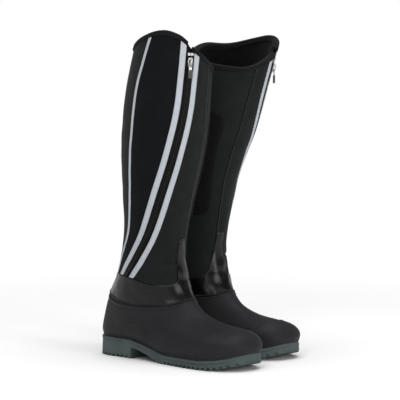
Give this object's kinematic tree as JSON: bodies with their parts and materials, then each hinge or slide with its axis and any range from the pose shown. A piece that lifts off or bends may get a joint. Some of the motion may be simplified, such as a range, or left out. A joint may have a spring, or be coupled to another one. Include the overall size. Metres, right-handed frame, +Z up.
{
  "type": "pair of tall riding boots",
  "caption": "Pair of tall waterproof winter riding boots with a curved side zip, reflective stripes, moulded rubber feet and lugged heeled outsoles.",
  "frame": {"origin": "centre of the bounding box on the floor that the boots stand on", "axes": "+Z up, toes toward -Y, the wearer's right boot at -X and the left boot at +X"},
  "size_m": [0.269, 0.3146, 0.4835],
  "materials": {
    "sole_rubber": "matt grey-green moulded rubber",
    "moulded_rubber": "matt black moulded rubber with a fine grain",
    "grip_rubber": "matt black grip rubber with a fine texture",
    "synthetic_leather": "satin black synthetic leather",
    "softshell": "black softshell with a fine weave",
    "smooth_textile": "smooth black stretch textile",
    "collar_cloth": "black bound edge",
    "felt": "black thermal lining",
    "zip_cloth": "woven zip tape",
    "reflective_tape": "grey reflective tape with a fine mesh",
    "zip_plastic": "black moulded teeth",
    "tab_plastic": "grey moulded tab",
    "board": "pressed fibre board",
    "nickel": "bright nickel"
  },
  "bodies": {
    "right_boot": {"right_outsole": "sole_rubber", "right_insole_board": "board", "right_footbed": "felt", "right_shank": "nickel", "right_galosh": "moulded_rubber", "right_heel_counter": "board", "right_toe_puff": "board", "right_lining": "felt", "right_ankle_panel": "synthetic_leather", "right_rear_strip": "softshell", "right_lateral_rear_panel": "smooth_textile", "right_medial_panel": "softshell", "right_front_panel": "softshell", "right_grip_patch": "grip_rubber", "right_rear_piping": "reflective_tape", "right_front_piping": "synthetic_leather", "right_zip_tape_front": "zip_cloth", "right_zip_tape_rear": "zip_cloth", "right_zip_teeth_front": "zip_plastic", "right_zip_teeth_rear": "zip_plastic", "right_stripe_front": "reflective_tape", "right_stripe_rear": "reflective_tape", "right_storm_flap": "smooth_textile", "right_collar_binding": "collar_cloth", "right_zip_top_stop_front": "nickel", "right_zip_top_stop_rear": "nickel", "right_zip_bottom_stop": "nickel"},
    "right_slider": {"right_zip_slider": "nickel"},
    "right_pull": {"right_zip_pull": "nickel", "right_pull_tab": "tab_plastic"},
    "left_boot": {"left_outsole": "sole_rubber", "left_insole_board": "board", "left_footbed": "felt", "left_shank": "nickel", "left_galosh": "moulded_rubber", "left_heel_counter": "board", "left_toe_puff": "board", "left_lining": "felt", "left_ankle_panel": "synthetic_leather", "left_rear_strip": "softshell", "left_lateral_rear_panel": "smooth_textile", "left_medial_panel": "softshell", "left_front_panel": "softshell", "left_grip_patch": "grip_rubber", "left_rear_piping": "reflective_tape", "left_front_piping": "synthetic_leather", "left_zip_tape_front": "zip_cloth", "left_zip_tape_rear": "zip_cloth", "left_zip_teeth_front": "zip_plastic", "left_zip_teeth_rear": "zip_plastic", "left_stripe_front": "reflective_tape", "left_stripe_rear": "reflective_tape", "left_storm_flap": "smooth_textile", "left_collar_binding": "collar_cloth", "left_zip_top_stop_front": "nickel", "left_zip_top_stop_rear": "nickel", "left_zip_bottom_stop": "nickel"},
    "left_slider": {"left_zip_slider": "nickel"},
    "left_pull": {"left_zip_pull": "nickel", "left_pull_tab": "tab_plastic"}
  },
  "joints": [
    {"name": "left_boot_placement", "type": "slide", "parent": "right_boot", "child": "left_boot", "axis": [1, 0, 0], "range_m": [0, 0.15]},
    {"name": "right_zip_travel", "type": "slide", "parent": "right_boot", "child": "right_slider", "axis": [-0.0321, 0.0885, -0.9956], "range_m": [0, 0.055]},
    {"name": "right_pull_swing", "type": "hinge", "parent": "right_slider", "child": "right_pull", "pos_m": [-0.09989, -0.05697, 0.43516], "axis": [-0.8771, 0.4803, 0], "range_deg": [-2, 140]},
    {"name": "left_zip_travel", "type": "slide", "parent": "left_boot", "child": "left_slider", "axis": [-0.1148, 0.2208, -0.9685], "range_m": [0, 0.055]},
    {"name": "left_pull_swing", "type": "hinge", "parent": "left_slider", "child": "left_pull", "pos_m": [0.09926, -0.04493, 0.42229], "axis": [-0.8771, -0.4803, 0], "range_deg": [-2, 140]}
  ]
}
